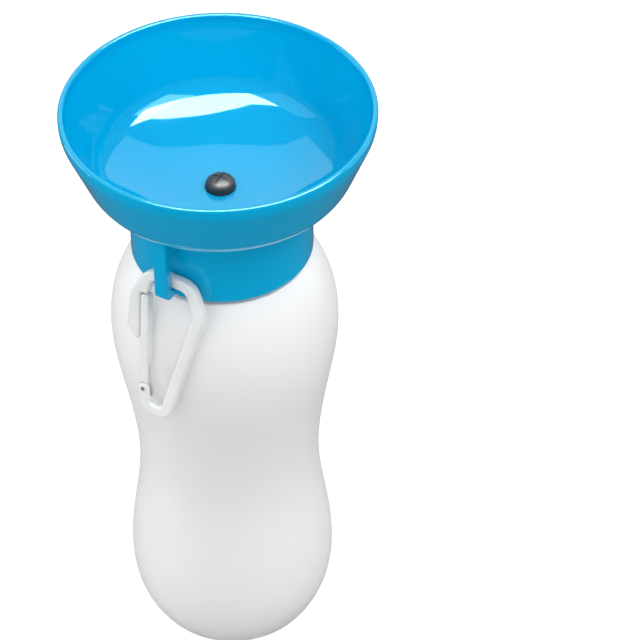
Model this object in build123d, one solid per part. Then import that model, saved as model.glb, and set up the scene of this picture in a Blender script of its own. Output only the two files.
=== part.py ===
from build123d import *
import math
import os

# Dog travel water bottle: a squeeze bottle with a drinking bowl screwed on its neck.
# Millimetres, +Z up, origin at the centre of the bottle's base, the hook on the -Y side.

# ---- Bottle body ----------------------------------------------------------------
body_wall = 1.2
base_corner_radius = 30.2
base_fillet = 3.0
push_up_radius = 24.0
push_up_depth = 3.0
foot_radius = 36.9
foot_height = 13.9
lower_bulge_radius = 38.7
lower_bulge_height = 26.0
waist_radius = 34.1
waist_height = 72.0
shoulder_height = 177.4
shoulder_step = 3.0
upper_shoulder_step = 11.3
upper_shoulder_drop = 17.8
upper_bulge_step = 13.0
upper_bulge_drop = 32.4
taper_step = 10.0
taper_drop = 57.4

# ---- Neck and its screw thread --------------------------------------------------
neck_radius = 28.4
neck_wall = 1.8
neck_height = 23.8
thread_pitch = 4.0
thread_turns = 1.5
thread_depth = 1.5
thread_root_width = 2.2
thread_crest_width = 1.2
thread_sink = 0.4
thread_clearance = 0.4
neck_thread_start = 9.0

# ---- Gasket between the neck and the bowl ----------------------------------------
gasket_thickness = 1.4
gasket_side_clearance = 0.3
gasket_overhang = 1.0
seal_clearance = 0.05

# ---- Bowl and the collar that screws on the neck ---------------------------------
floor_thickness = 2.4
bowl_wall = 2.1
bowl_depth = 35.0
rim_radius = 55.0
rim_band_height = 4.0
rim_band_fillet = 12.0
rim_edge_fillet = 0.9
bowl_flare = 9.4
bowl_corner_rise = 7.3
bowl_corner_fillet = 15.0
slope_foot_inset = 1.2
floor_arc_share = 0.585
collar_wall = 2.2
collar_skirt_gap = 1.7
collar_edge_fillet = 1.3
weld_gap = 0.05
gasket_seat_overlap = 0.6

# ---- Hook moulded on the collar ---------------------------------------------------
hook_width = 5.2
hook_slot = 6.1
hook_leg_thickness = 3.4
hook_web_rise = 22.0
hook_web_fillet = 1.2
hook_foot_rise = 4.8
hook_lip_height = 2.6
hook_lip_reach = 4.0
hook_lip_rise = 1.3
hook_heel_radius = 3.2
hook_toe_radius = 1.6
hook_root_sink = 1.0
hook_edge_fillet = 0.6

# ---- Slit valve, tube holder and dip tube -----------------------------------------
valve_dome_radius = 5.2
valve_dome_height = 4.4
valve_dome_straight = 1.4
valve_wall = 1.3
valve_slit_length = 6.4
valve_slit_width = 0.3
valve_flange_radius = 7.0
valve_flange_thickness = 1.6
part_clearance = 0.1
boss_wall = 1.8
boss_height = 10.0
holder_bore_radius = 1.8
spigot_radius = 2.7
spigot_length = 10.0
tube_wall = 0.8
tube_base_gap = 3.0
tube_cut_angle = 40.0

# ---- Carabiner, drawn in its own plane with the bar on the hook at the origin -------
clip_thickness = 4.0
clip_limb_width = 4.2
clip_length = 57.8
clip_edge_fillet = 1.0
clip_seat_clearance = 0.3
clip_hang_angle = 13.0
clip_top_left = 9.0
clip_top_right = 9.5
clip_top_fillet = 8.0
clip_right_reach = 15.6
clip_right_drop = 9.8
clip_left_reach = 14.6
clip_left_drop = 9.5
clip_foot_left = 6.4
clip_foot_right = 5.1
clip_foot_fillet = 5.0
clip_inner_fillet = 1.8
nose_drop = 22.4
nose_end_drop = 29.0
nose_step_drop = 8.2
nose_step_width = 2.8
nose_step_fillet = 1.1
nose_fillet = 3.6
gate_width = 3.2
gate_top_drop = 8.6
gate_top_fillet = 1.2
gate_lean_angle = 4.0
gate_clearance = 0.3
gate_edge_fillet = 0.7
gate_pivot_left = 5.9
gate_pivot_drop = 46.4
gate_root_radius = 2.3
gate_root_fillet = 2.2
gate_root_thickness = 1.8
gate_root_clearance = 0.1
gate_neck_width = 2.2
gate_neck_length = 6.0
pin_radius = 0.8
pin_inset = 0.1
pin_seat_clearance = 0.02
pin_running_clearance = 0.05
spring_thickness = 0.4
spring_width = 1.4
spring_clearance = 0.05
spring_reach = 7.0
spring_bend_rise = 0.5
spring_bow = 1.15

# ---- Heights and radii that follow from the sizes above ---------------------------
neck_top = shoulder_height + neck_height
seat_height = neck_top + gasket_thickness + 2 * seal_clearance
floor_height = seat_height + floor_thickness
rim_height = floor_height + bowl_depth
corner_height = floor_height + bowl_corner_rise
collar_bore_radius = neck_radius + thread_depth + thread_clearance
collar_radius = collar_bore_radius + collar_wall
collar_bottom = shoulder_height + collar_skirt_gap
seat_inner_radius = neck_radius - neck_wall - gasket_overhang - gasket_seat_overlap
slope_foot_radius = seat_inner_radius - slope_foot_inset
bowl_corner_radius = rim_radius - bowl_flare
slope = (corner_height - seat_height) / (bowl_corner_radius - slope_foot_radius)
slot_centre = collar_radius + hook_slot / 2
leg_inner = collar_radius + hook_slot
leg_outer = leg_inner + hook_leg_thickness
hook_foot = collar_bottom + hook_foot_rise
hook_web_bottom = collar_bottom + hook_web_rise
bar_half_width = clip_limb_width / 2
bar_half_diagonal = clip_edge_fillet + math.hypot(
    bar_half_width - clip_edge_fillet,
    clip_thickness / 2 - clip_edge_fillet,
)
bar_seat_radius = bar_half_diagonal + clip_seat_clearance
bar_height = hook_foot + hook_lip_height + bar_seat_radius
boss_bore_radius = valve_flange_radius + part_clearance
valve_hole_radius = valve_dome_radius + part_clearance
tube_bore_radius = spigot_radius + part_clearance
tube_radius = tube_bore_radius + tube_wall
holder_top = seat_height - valve_flange_thickness - 2 * seal_clearance
holder_bottom = seat_height - boss_height
tube_top = holder_bottom - seal_clearance
tube_bottom = push_up_depth + body_wall + tube_base_gap


def revolve_outline(*lines):
    """Solid of revolution about Z from a closed half outline drawn as (radius, height)."""
    return revolve(Plane.XZ * make_face(Curve() + list(lines)), Axis.Z)


def ring(outer_radius, inner_radius, bottom, top):
    """Plain ring between two heights."""
    blank = Circle(outer_radius) - Circle(inner_radius)
    return Pos(0, 0, bottom) * extrude(blank, top - bottom)


def plate(outline, thickness):
    """Flat plate, centred on the plane that its outline is drawn in."""
    return extrude(make_face(outline), thickness / 2, both=True)


def round_plate(body, radius):
    """Rounds the edges of the two flat faces of a plate that lies in the XY plane."""
    flats = body.faces().sort_by(Axis.Z)
    return fillet(flats[0].edges() + flats[-1].edges(), radius)


def inset_corner(before, corner, after, distance):
    """Corner moved to the right of the way before-corner-after, away from both sides."""
    first = (Vector(corner) - Vector(before)).normalized()
    second = (Vector(after) - Vector(corner)).normalized()
    across = Vector(first.Y + second.Y, -first.X - second.X)
    moved = Vector(corner) + across * (distance / (1 + first.dot(second)))
    return (moved.X, moved.Y)


# ---- Bottle body ------------------------------------------------------------------
def bottle_side(inset):
    """Side line of the bottle from its base to its shoulder, drawn inside by the inset."""
    inner_neck = neck_radius - inset
    return Spline(
        (base_corner_radius - inset, inset),
        (foot_radius - inset, foot_height),
        (lower_bulge_radius - inset, lower_bulge_height),
        (waist_radius - inset, waist_height),
        (inner_neck + taper_step, shoulder_height - taper_drop),
        (inner_neck + upper_bulge_step, shoulder_height - upper_bulge_drop),
        (inner_neck + upper_shoulder_step, shoulder_height - upper_shoulder_drop),
        (inner_neck + shoulder_step, shoulder_height - inset),
    )


def bottle_blank(inset, neck_outer, top):
    """Solid of revolution within the bottle's wall, inset from its outer face."""
    side = bottle_side(inset)
    push_up = ThreePointArc(
        (0, push_up_depth + inset),
        (push_up_radius / 2, push_up_depth * 3 / 4 + inset),
        (push_up_radius, inset),
    )
    base = Line(push_up @ 1, side @ 0)
    ledge = Line(side @ 1, (neck_outer, shoulder_height - inset))
    neck = Line(ledge @ 1, (neck_outer, top))
    lid = Line(neck @ 1, (0, top))
    axis = Line(lid @ 1, push_up @ 0)
    return revolve_outline(push_up, base, side, ledge, neck, lid, axis)


def thread_ridge(wall_radius, outward, start):
    """Helical ridge on a round wall: outward is 1 on a neck and -1 in a bore."""
    path = Helix(thread_pitch, thread_pitch * thread_turns, wall_radius)
    section = Plane(path @ 0, x_dir=(outward, 0, 0), z_dir=path % 0) * Polygon(
        (-thread_sink, -thread_root_width / 2),
        (thread_depth, -thread_crest_width / 2),
        (thread_depth, thread_crest_width / 2),
        (-thread_sink, thread_root_width / 2),
        align=None,
    )
    return Pos(0, 0, start) * sweep(section, path, is_frenet=True)


def make_bottle_body():
    outer = bottle_blank(0, neck_radius, neck_top)
    base_edges = outer.edges().filter_by(GeomType.CIRCLE).group_by(Axis.Z)[0]
    outer = fillet(base_edges.sort_by(SortBy.RADIUS)[-1], base_fillet)
    inner = bottle_blank(body_wall, neck_radius - neck_wall, neck_top + 1)
    ridge = thread_ridge(neck_radius, 1, shoulder_height + neck_thread_start)
    return outer - inner + ridge


def make_neck_gasket():
    return ring(
        collar_bore_radius - gasket_side_clearance,
        neck_radius - neck_wall - gasket_overhang,
        neck_top + seal_clearance,
        neck_top + seal_clearance + gasket_thickness,
    )


# ---- Bowl, and the collar with its hook ----------------------------------------------
rim_top = (rim_radius, rim_height)
rim_band = (rim_radius, rim_height - rim_band_height)
bowl_corner = (bowl_corner_radius, corner_height)
slope_foot = (slope_foot_radius, seat_height)


def weld_height(radius):
    """Height of the collar's top, a weld's gap under the bowl's sloping underside."""
    return corner_height - (bowl_corner_radius - radius) * slope - weld_gap


def bowl_outside():
    side = FilletPolyline(
        rim_top,
        rim_band,
        bowl_corner,
        slope_foot,
        radius=[rim_band_fillet, bowl_corner_fillet],
    )
    floor_line = Line(side @ 1, (0, seat_height))
    axis = Line(floor_line @ 1, (0, rim_height))
    return revolve_outline(side, floor_line, axis, Line(axis @ 1, side @ 0))


def bowl_cavity():
    """Space inside the bowl, a wall's thickness within its outside."""
    inner_corner = inset_corner(rim_band, bowl_corner, slope_foot, bowl_wall)
    inner_rise = inner_corner[1] - floor_height
    inner_foot = inner_corner[0] - inner_rise / slope
    floor_arc_reach = floor_arc_share * math.hypot(inner_rise, inner_rise / slope)
    floor_fillet = floor_arc_reach / math.tan(math.atan(slope) / 2)
    above_rim = rim_height + 1
    side = FilletPolyline(
        (rim_radius - bowl_wall, above_rim),
        inset_corner(rim_top, rim_band, bowl_corner, bowl_wall),
        inner_corner,
        (inner_foot, floor_height),
        (0, floor_height),
        radius=[rim_band_fillet - bowl_wall, bowl_corner_fillet - bowl_wall, floor_fillet],
    )
    axis = Line(side @ 1, (0, above_rim))
    return revolve_outline(side, axis, Line(axis @ 1, side @ 0))


def make_drinking_bowl():
    """Bowl with the boss under its floor that holds the valve."""
    boss = ring(boss_bore_radius + boss_wall, boss_bore_radius, holder_bottom, seat_height)
    bowl = bowl_outside() + boss - bowl_cavity()
    bowl -= Pos(0, 0, floor_height) * Cylinder(valve_hole_radius, 3 * floor_thickness)
    rim_edges = bowl.edges().filter_by(GeomType.CIRCLE).group_by(Axis.Z)[-1]
    return fillet(rim_edges, rim_edge_fillet)


def make_hook():
    """Strap that stands off the collar, with a lip that the carabiner's bar rests on."""
    root = collar_radius - hook_root_sink
    tip = leg_inner - hook_lip_reach
    lip_top = hook_foot + hook_lip_height + hook_lip_rise
    outline = FilletPolyline(
        (root, hook_web_bottom),
        (leg_inner, hook_web_bottom),
        (leg_inner, lip_top),
        (tip, lip_top),
        (tip, hook_foot),
        (leg_outer, hook_foot),
        (leg_outer, weld_height(leg_outer)),
        (root, weld_height(root)),
        radius=[0, hook_web_fillet, 0, 0, hook_toe_radius, hook_heel_radius, 0, 0],
        close=True,
    )
    profile = make_face(outline) - Pos(slot_centre, bar_height) * Circle(bar_seat_radius)
    strap = round_plate(extrude(profile, hook_width / 2, both=True), hook_edge_fillet)
    return Plane((0, 0, 0), x_dir=(0, -1, 0), z_dir=(-1, 0, 0)) * strap


def make_screw_collar():
    """Threaded skirt with the gasket's seat and the hook, welded under the bowl's slope."""
    corners = Polyline(
        (seat_inner_radius, weld_height(seat_inner_radius)),
        (seat_inner_radius, seat_height),
        (collar_bore_radius, seat_height),
        (collar_bore_radius, collar_bottom),
        (collar_radius, collar_bottom),
        (collar_radius, weld_height(collar_radius)),
        (seat_inner_radius, weld_height(seat_inner_radius)),
    )
    collar = revolve_outline(corners)
    lower_edge = collar.edges().filter_by(GeomType.CIRCLE).group_by(Axis.Z)[0]
    collar = fillet(lower_edge.sort_by(SortBy.RADIUS)[-1], collar_edge_fillet)
    ridge_start = shoulder_height + neck_thread_start - thread_pitch / 2
    return collar + make_hook() + thread_ridge(collar_bore_radius, -1, ridge_start)


# ---- Valve, tube holder and dip tube --------------------------------------------------
def make_slit_valve():
    """Dome with a crossed slit, on a flange that the tube holder clamps."""
    dome_foot = floor_height + valve_dome_straight
    dome_rise = valve_dome_height - valve_dome_straight
    flange_bottom = seat_height - seal_clearance - valve_flange_thickness
    bore_radius = valve_dome_radius - valve_wall
    bore_rise = dome_rise - valve_wall
    outside = EllipticalCenterArc((0, dome_foot), valve_dome_radius, dome_rise, arc_size=90)
    inside = EllipticalCenterArc((0, dome_foot), bore_radius, bore_rise, arc_size=90)
    steps = Polyline(
        outside @ 0,
        (valve_dome_radius, seat_height - seal_clearance),
        (valve_flange_radius, seat_height - seal_clearance),
        (valve_flange_radius, flange_bottom),
        (bore_radius, flange_bottom),
        inside @ 0,
    )
    valve = revolve_outline(outside, steps, inside, Line(inside @ 1, outside @ 1))
    slit = Box(valve_slit_length, valve_slit_width, 2 * dome_rise)
    crossed = slit + Rot(0, 0, 90) * slit
    return valve - Pos(0, 0, dome_foot + dome_rise) * crossed


def make_tube_holder():
    """Bush that clamps the valve and carries the dip tube on its spigot."""
    bush = ring(valve_flange_radius, holder_bore_radius, holder_bottom, holder_top)
    spigot_end = holder_bottom - spigot_length
    return bush + ring(spigot_radius, holder_bore_radius, spigot_end, holder_bottom)


def make_dip_tube():
    """Straight tube, cut slanting at its foot so that the base can't seal it."""
    tube = ring(tube_radius, tube_bore_radius, tube_bottom, tube_top)
    lean = math.radians(tube_cut_angle)
    cut = Plane((tube_radius, 0, tube_bottom), z_dir=(math.sin(lean), 0, math.cos(lean)))
    return split(tube, bisect_by=cut, keep=Keep.TOP)


# ---- Carabiner ----------------------------------------------------------------------
clip_lean = math.radians(clip_hang_angle)
clip_plane = Plane(
    (0, -slot_centre, bar_height),
    x_dir=(1, 0, 0),
    z_dir=(0, -math.cos(clip_lean), math.sin(clip_lean)),
)
pivot = (-gate_pivot_left, -gate_pivot_drop)
gate_place = Pos(*pivot) * Rot(0, 0, gate_lean_angle)
root_bore_radius = gate_root_radius + gate_root_clearance


def nose_line(drop):
    """Point of the nose's inner face, which stands off the gate, at a drop below the bar."""
    lean = math.radians(gate_lean_angle)
    rise = gate_pivot_drop - drop
    standoff = (gate_width / 2 + gate_clearance) / math.cos(lean)
    return (pivot[0] - rise * math.tan(lean) - standoff, -drop)


def make_carabiner_frame():
    foot = bar_half_width - clip_length
    top_left = (-clip_top_left, bar_half_width)
    top_right = (clip_top_right, bar_half_width)
    right = (clip_right_reach, -clip_right_drop)
    foot_right = (clip_foot_right, foot)
    foot_left = (-clip_foot_left, foot)
    root_left = (pivot[0] - gate_root_radius, pivot[1] + gate_root_radius)
    root_right = (pivot[0] + gate_root_radius, pivot[1] + gate_root_radius)
    left = (-clip_left_reach, -clip_left_drop)
    step = nose_line(nose_step_drop)
    step_end = (step[0] + nose_step_width, -nose_step_drop)
    inner_top_fillet = clip_top_fillet - clip_limb_width
    outline = FilletPolyline(
        top_left,
        top_right,
        right,
        foot_right,
        foot_left,
        root_left,
        root_right,
        inset_corner(foot_right, foot_left, root_left, clip_limb_width),
        inset_corner(right, foot_right, foot_left, clip_limb_width),
        inset_corner(top_right, right, foot_right, clip_limb_width),
        inset_corner(top_left, top_right, right, clip_limb_width),
        inset_corner(left, top_left, top_right, clip_limb_width),
        step_end,
        step,
        nose_line(nose_end_drop),
        (-clip_left_reach, -nose_drop),
        left,
        radius=[
            clip_top_fillet,
            clip_top_fillet,
            clip_top_fillet,
            clip_foot_fillet,
            clip_foot_fillet,
            gate_root_fillet,
            gate_root_fillet,
            clip_inner_fillet,
            clip_inner_fillet,
            inner_top_fillet,
            inner_top_fillet,
            clip_inner_fillet,
            nose_step_fillet,
            nose_step_fillet,
            nose_step_fillet,
            nose_fillet,
            clip_top_fillet,
        ],
        close=True,
    )
    frame = round_plate(plate(outline, clip_thickness), clip_edge_fillet)
    slot_width = gate_root_thickness + 2 * gate_root_clearance
    slot = Box(4 * gate_root_radius, 4 * gate_root_radius, slot_width)
    frame -= Pos(pivot[0], pivot[1] + 2 * gate_root_radius - root_bore_radius) * slot
    frame -= Pos(*pivot) * Cylinder(pin_radius + pin_seat_clearance, 2 * clip_thickness)
    return clip_plane * frame


def make_carabiner_gate():
    """Gate drawn upright with its pivot at the origin, then leant against the nose."""
    gate_length = (gate_pivot_drop - gate_top_drop) / math.cos(math.radians(gate_lean_angle))
    bar = Pos(0, gate_length / 2) * Rectangle(gate_width, gate_length)
    bar = fillet(bar.vertices().group_by(Axis.Y)[-1], gate_top_fillet)
    bar -= Circle(gate_root_radius + gate_clearance)
    bar = round_plate(extrude(bar, clip_thickness / 2, both=True), gate_edge_fillet)
    tongue = Circle(gate_root_radius - gate_root_clearance)
    tongue += Pos(0, gate_neck_length / 2) * Rectangle(gate_neck_width, gate_neck_length)
    gate = bar + extrude(tongue, gate_root_thickness / 2, both=True)
    groove_depth = spring_thickness + spring_clearance
    groove = Box(2 * groove_depth, spring_reach, spring_width + 2 * spring_clearance)
    groove_foot = gate_root_radius - spring_thickness
    gate -= Pos(gate_width / 2, groove_foot + spring_reach / 2) * groove
    gate -= Cylinder(pin_radius + pin_running_clearance, 2 * clip_thickness)
    return clip_plane * gate_place * gate


def make_gate_pin():
    pin = Cylinder(pin_radius, clip_thickness - 2 * pin_inset)
    return clip_plane * Pos(*pivot) * pin


def make_gate_spring():
    """Leaf in the gate's groove, bowed round the root to press on the frame's slot."""
    back = gate_width / 2 - spring_thickness
    bowed = back + spring_bow
    foot = -gate_root_radius
    leaf_top = gate_root_radius - spring_thickness - spring_clearance + spring_reach
    leaf = Polygon(
        (back, leaf_top),
        (back, gate_root_radius),
        (bowed, spring_bend_rise),
        (bowed + spring_thickness / 2, foot),
        (bowed + spring_thickness * 3 / 2, foot),
        (bowed + spring_thickness, spring_bend_rise),
        (back + spring_thickness, gate_root_radius + spring_thickness / 2),
        (back + spring_thickness, leaf_top),
        align=None,
    )
    spring = extrude(leaf, spring_width / 2, both=True)
    return clip_plane * gate_place * spring


nodes = {
    "bottle_body": make_bottle_body(),
    "neck_gasket": make_neck_gasket(),
    "drinking_bowl": make_drinking_bowl(),
    "screw_collar": make_screw_collar(),
    "slit_valve": make_slit_valve(),
    "tube_holder": make_tube_holder(),
    "dip_tube": make_dip_tube(),
    "carabiner_frame": make_carabiner_frame(),
    "carabiner_gate": make_carabiner_gate(),
    "gate_pin": make_gate_pin(),
    "gate_spring": make_gate_spring(),
}

os.makedirs("parts", exist_ok=True)
for name, solid in nodes.items():
    export_step(solid, f"parts/{name}.step")
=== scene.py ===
import logging
import math
from dataclasses import dataclass
from enum import Enum
from typing import Sequence

import bmesh
import bpy
import numpy as np
from mathutils import Matrix, Vector


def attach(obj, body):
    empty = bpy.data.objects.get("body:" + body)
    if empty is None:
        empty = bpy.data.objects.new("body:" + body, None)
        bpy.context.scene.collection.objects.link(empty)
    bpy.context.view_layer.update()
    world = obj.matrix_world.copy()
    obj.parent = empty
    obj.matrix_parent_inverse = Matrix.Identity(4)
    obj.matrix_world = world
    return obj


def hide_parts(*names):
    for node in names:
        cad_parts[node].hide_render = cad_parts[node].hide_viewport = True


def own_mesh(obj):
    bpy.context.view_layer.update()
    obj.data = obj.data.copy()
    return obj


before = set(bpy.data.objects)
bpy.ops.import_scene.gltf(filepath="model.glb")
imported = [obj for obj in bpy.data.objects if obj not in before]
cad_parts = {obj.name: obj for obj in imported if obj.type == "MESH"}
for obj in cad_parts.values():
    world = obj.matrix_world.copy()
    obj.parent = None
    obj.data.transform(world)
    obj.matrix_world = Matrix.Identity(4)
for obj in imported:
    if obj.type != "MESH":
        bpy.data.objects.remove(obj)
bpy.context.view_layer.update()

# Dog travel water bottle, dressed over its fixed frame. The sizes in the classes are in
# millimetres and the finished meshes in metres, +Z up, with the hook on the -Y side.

MM = 0.001
CREASE = 32.0  # degrees of fold from which an edge stays sharp
MERGE_DISTANCE = 1e-7  # metres
SLIVER_LENGTH = 1e-8  # metres
EDGE_STEPS = 5  # steps of a plate's rounded edge
EDGE_RUN = 1.06  # inset of a plate's flat face, in radii of its edge

log = logging.getLogger("dog_travel_water_bottle")

Point = tuple[float, float]
Corner = tuple[float, float, float]
Colour = tuple[float, float, float]
Place = tuple[float, float, float]


class Body(Enum):
    """Bodies of the frame that the pieces ride on."""

    BOTTLE = "bottle"
    GASKET = "gasket"
    CAP = "cap"
    CARABINER = "carabiner"
    GATE = "gate"


class Slot(Enum):
    """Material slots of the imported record."""

    BOTTLE = "bottle_plastic"
    BOWL = "bowl_plastic"
    SEAL = "seal_rubber"
    VALVE = "valve_rubber"
    HOLDER = "holder_plastic"
    TUBE = "tube_plastic"
    CLIP = "clip_plastic"
    STEEL = "steel"


# ---- Outlines --------------------------------------------------------------------------
def rounded(corners: Sequence[Corner], closed: bool = True, turn: float = 7.5) -> list[Point]:
    """Points of an outline whose corners are rounded by arcs.

    Args:
        corners: Across, up and rounding radius of each corner.
        closed: True for a closed outline, False for a line with two ends.
        turn: Largest turn between two points of an arc, in degrees.

    Returns:
        The points along the outline.
    """
    points: list[Point] = []
    count = len(corners)
    for index, (across, up, radius) in enumerate(corners):
        here = Vector((across, up))
        is_end = not closed and index in (0, count - 1)
        if radius <= 0 or is_end:
            points.append((across, up))
            continue
        before = (Vector(corners[index - 1][:2]) - here).normalized()
        after = (Vector(corners[(index + 1) % count][:2]) - here).normalized()
        half = before.angle(after) / 2
        centre = here + (before + after).normalized() * (radius / math.sin(half))
        arm = here + before * (radius / math.tan(half)) - centre
        sweep = math.copysign(math.pi - 2 * half, -before.cross(after))
        steps = max(2, math.ceil(abs(math.degrees(sweep)) / turn))
        for step in range(steps + 1):
            spoke = Matrix.Rotation(sweep * step / steps, 2) @ arm
            points.append((centre.x + spoke.x, centre.y + spoke.y))
    return points


def arc(centre: Point, radius: float, start: float, sweep: float, steps: int) -> list[Point]:
    """Points of an arc.

    Args:
        centre: Middle of the arc's circle.
        radius: Radius of the circle.
        start: Angle of the first point in radians.
        sweep: Angle from the first point to the last, in radians.
        steps: Number of steps from point to point.

    Returns:
        The points, one more than the steps.
    """
    angles = [start + sweep * step / steps for step in range(steps + 1)]
    return [
        (centre[0] + radius * math.cos(angle), centre[1] + radius * math.sin(angle))
        for angle in angles
    ]


def sharp(points: Sequence[Point]) -> list[Corner]:
    """Corners without rounding at the points."""
    return [(*point, 0.0) for point in points]


def end_slope(knots: np.ndarray, times: np.ndarray) -> np.ndarray:
    """Slope at the first of three knots of the parabola through them.

    Args:
        knots: The three knots.
        times: Distance along the line at each knot.

    Returns:
        The slope at the first knot.
    """
    near, far = times[1] - times[0], times[2] - times[0]
    first = (knots[1] - knots[0]) / near
    second = (knots[2] - knots[0]) / far
    return (first * far - second * near) / (far - near)


def smooth_line(knots: Sequence[Point], spacing: float) -> list[Point]:
    """Smooth cubic line through the knots.

    Args:
        knots: Points that the line goes through.
        spacing: Distance between the line's points.

    Returns:
        The points along the line, the first and the last knot included.
    """
    place = np.array(knots, float)
    span = np.hypot(*np.diff(place, axis=0).T)
    times = np.concatenate([[0.0], np.cumsum(span)])
    rise = np.diff(place, axis=0) / span[:, None]
    count = len(place)
    system = np.zeros((count, count))
    wanted = np.zeros((count, 2))
    system[0, 0] = system[-1, -1] = 1.0
    wanted[0] = end_slope(place[:3], times[:3])
    wanted[-1] = end_slope(place[:-4:-1], times[:-4:-1])
    for row in range(1, count - 1):
        system[row, row - 1] = span[row]
        system[row, row] = 2 * (span[row - 1] + span[row])
        system[row, row + 1] = span[row - 1]
        wanted[row] = 3 * (span[row] * rise[row - 1] + span[row - 1] * rise[row])
    slopes = np.linalg.solve(system, wanted)
    line: list[Point] = [tuple(place[0])]
    for row in range(count - 1):
        steps = max(1, round(span[row] / spacing))
        for step in range(1, steps + 1):
            share = step / steps
            lift = span[row] * (share - 1) * share
            point = place[row] * (1 + 2 * share) * (1 - share) ** 2
            point = point + place[row + 1] * (3 - 2 * share) * share**2
            point = point + lift * ((share - 1) * slopes[row] + share * slopes[row + 1])
            line.append((float(point[0]), float(point[1])))
    return line


def inset_corner(before: Point, corner: Point, after: Point, distance: float) -> Point:
    """Corner moved to the right of the way before-corner-after, away from both sides.

    Args:
        before: Corner before it.
        corner: The corner that moves.
        after: Corner after it.
        distance: Distance from both sides.

    Returns:
        The moved corner.
    """
    first = (Vector(corner) - Vector(before)).normalized()
    second = (Vector(after) - Vector(corner)).normalized()
    across = Vector((first.y + second.y, -first.x - second.x))
    moved = Vector(corner) + across * (distance / (1 + first.dot(second)))
    return (moved.x, moved.y)


def inset_outline(outline: Sequence[Point], distance: float) -> list[Point]:
    """Closed outline moved inwards.

    Args:
        outline: Closed outline, drawn anticlockwise.
        distance: Distance between the two outlines.

    Returns:
        The inner outline.
    """
    ends = [*outline[1:], outline[0]]
    starts = [outline[-1], *outline[:-1]]
    return [
        inset_corner(before, corner, after, -distance)
        for before, corner, after in zip(starts, outline, ends)
    ]


def without_doubles(outline: Sequence[Point], least: float = 0.02) -> list[Point]:
    """Closed outline without points that nearly coincide.

    Args:
        outline: Closed outline.
        least: Least distance between two points.

    Returns:
        The outline with the points that it keeps.
    """
    kept: list[Point] = []
    for point in outline:
        if not kept or math.dist(point, kept[-1]) > least:
            kept.append(point)
    if math.dist(kept[0], kept[-1]) <= least:
        kept.pop()
    return kept


# ---- Meshes ----------------------------------------------------------------------------
def finish_mesh(mesh: bpy.types.Mesh, crease: float = CREASE) -> None:
    """Merges doubles, drops loose edges, turns the faces outwards and shades the mesh.

    Args:
        mesh: Mesh to finish.
        crease: Edges that fold by more degrees than this stay sharp.
    """
    work = bmesh.new()
    work.from_mesh(mesh)
    bmesh.ops.remove_doubles(work, verts=work.verts, dist=MERGE_DISTANCE)
    bmesh.ops.dissolve_degenerate(work, edges=work.edges, dist=SLIVER_LENGTH)
    wires = [edge for edge in work.edges if edge.is_wire]
    bmesh.ops.delete(work, geom=wires, context="EDGES")
    rims = [edge for edge in work.edges if edge.is_boundary]
    if rims:
        bmesh.ops.holes_fill(work, edges=rims, sides=0)
    bmesh.ops.recalc_face_normals(work, faces=work.faces)
    work.to_mesh(mesh)
    work.free()
    mesh.shade_smooth()
    mesh.set_sharp_from_angle(angle=math.radians(crease))


def add_object(name: str, mesh: bpy.types.Mesh) -> bpy.types.Object:
    """Shows a mesh in the scene.

    Args:
        name: Name of the new object.
        mesh: The mesh.

    Returns:
        The new object.
    """
    piece = bpy.data.objects.new(name, mesh)
    bpy.context.scene.collection.objects.link(piece)
    return piece


def baked(piece: bpy.types.Object, crease: float = CREASE) -> bpy.types.Object:
    """Replaces a piece's modifiers by the mesh that they give.

    Args:
        piece: Object with modifiers.
        crease: Edges that fold by more degrees than this stay sharp.

    Returns:
        The same object with a plain mesh.
    """
    graph = bpy.context.evaluated_depsgraph_get()
    mesh = bpy.data.meshes.new_from_object(piece.evaluated_get(graph))
    piece.modifiers.clear()
    piece.data = mesh
    finish_mesh(mesh, crease)
    return piece


def joined(name: str, parts: Sequence[bpy.types.Object]) -> bpy.types.Object:
    """Joins the meshes of several objects.

    Args:
        name: Name of the new object.
        parts: The objects, which are removed.

    Returns:
        The new object.
    """
    work = bmesh.new()
    for part in parts:
        work.from_mesh(part.data)
        bpy.data.objects.remove(part)
    mesh = bpy.data.meshes.new(name)
    work.to_mesh(mesh)
    work.free()
    mesh.shade_smooth()
    mesh.set_sharp_from_angle(angle=math.radians(CREASE))
    return add_object(name, mesh)


def combined(
    piece: bpy.types.Object, tools: Sequence[bpy.types.Object], operation: str = "DIFFERENCE"
) -> bpy.types.Object:
    """Cuts other objects out of a piece, or adds them to it.

    Args:
        piece: The piece that changes.
        tools: The other objects, which are removed.
        operation: DIFFERENCE to cut and UNION to add.

    Returns:
        The same piece with a plain mesh.
    """
    for tool in tools:
        step = piece.modifiers.new(operation.lower(), "BOOLEAN")
        step.operation = operation
        step.solver = "EXACT"
        step.object = tool
    baked(piece)
    for tool in tools:
        bpy.data.objects.remove(tool)
    return piece


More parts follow.
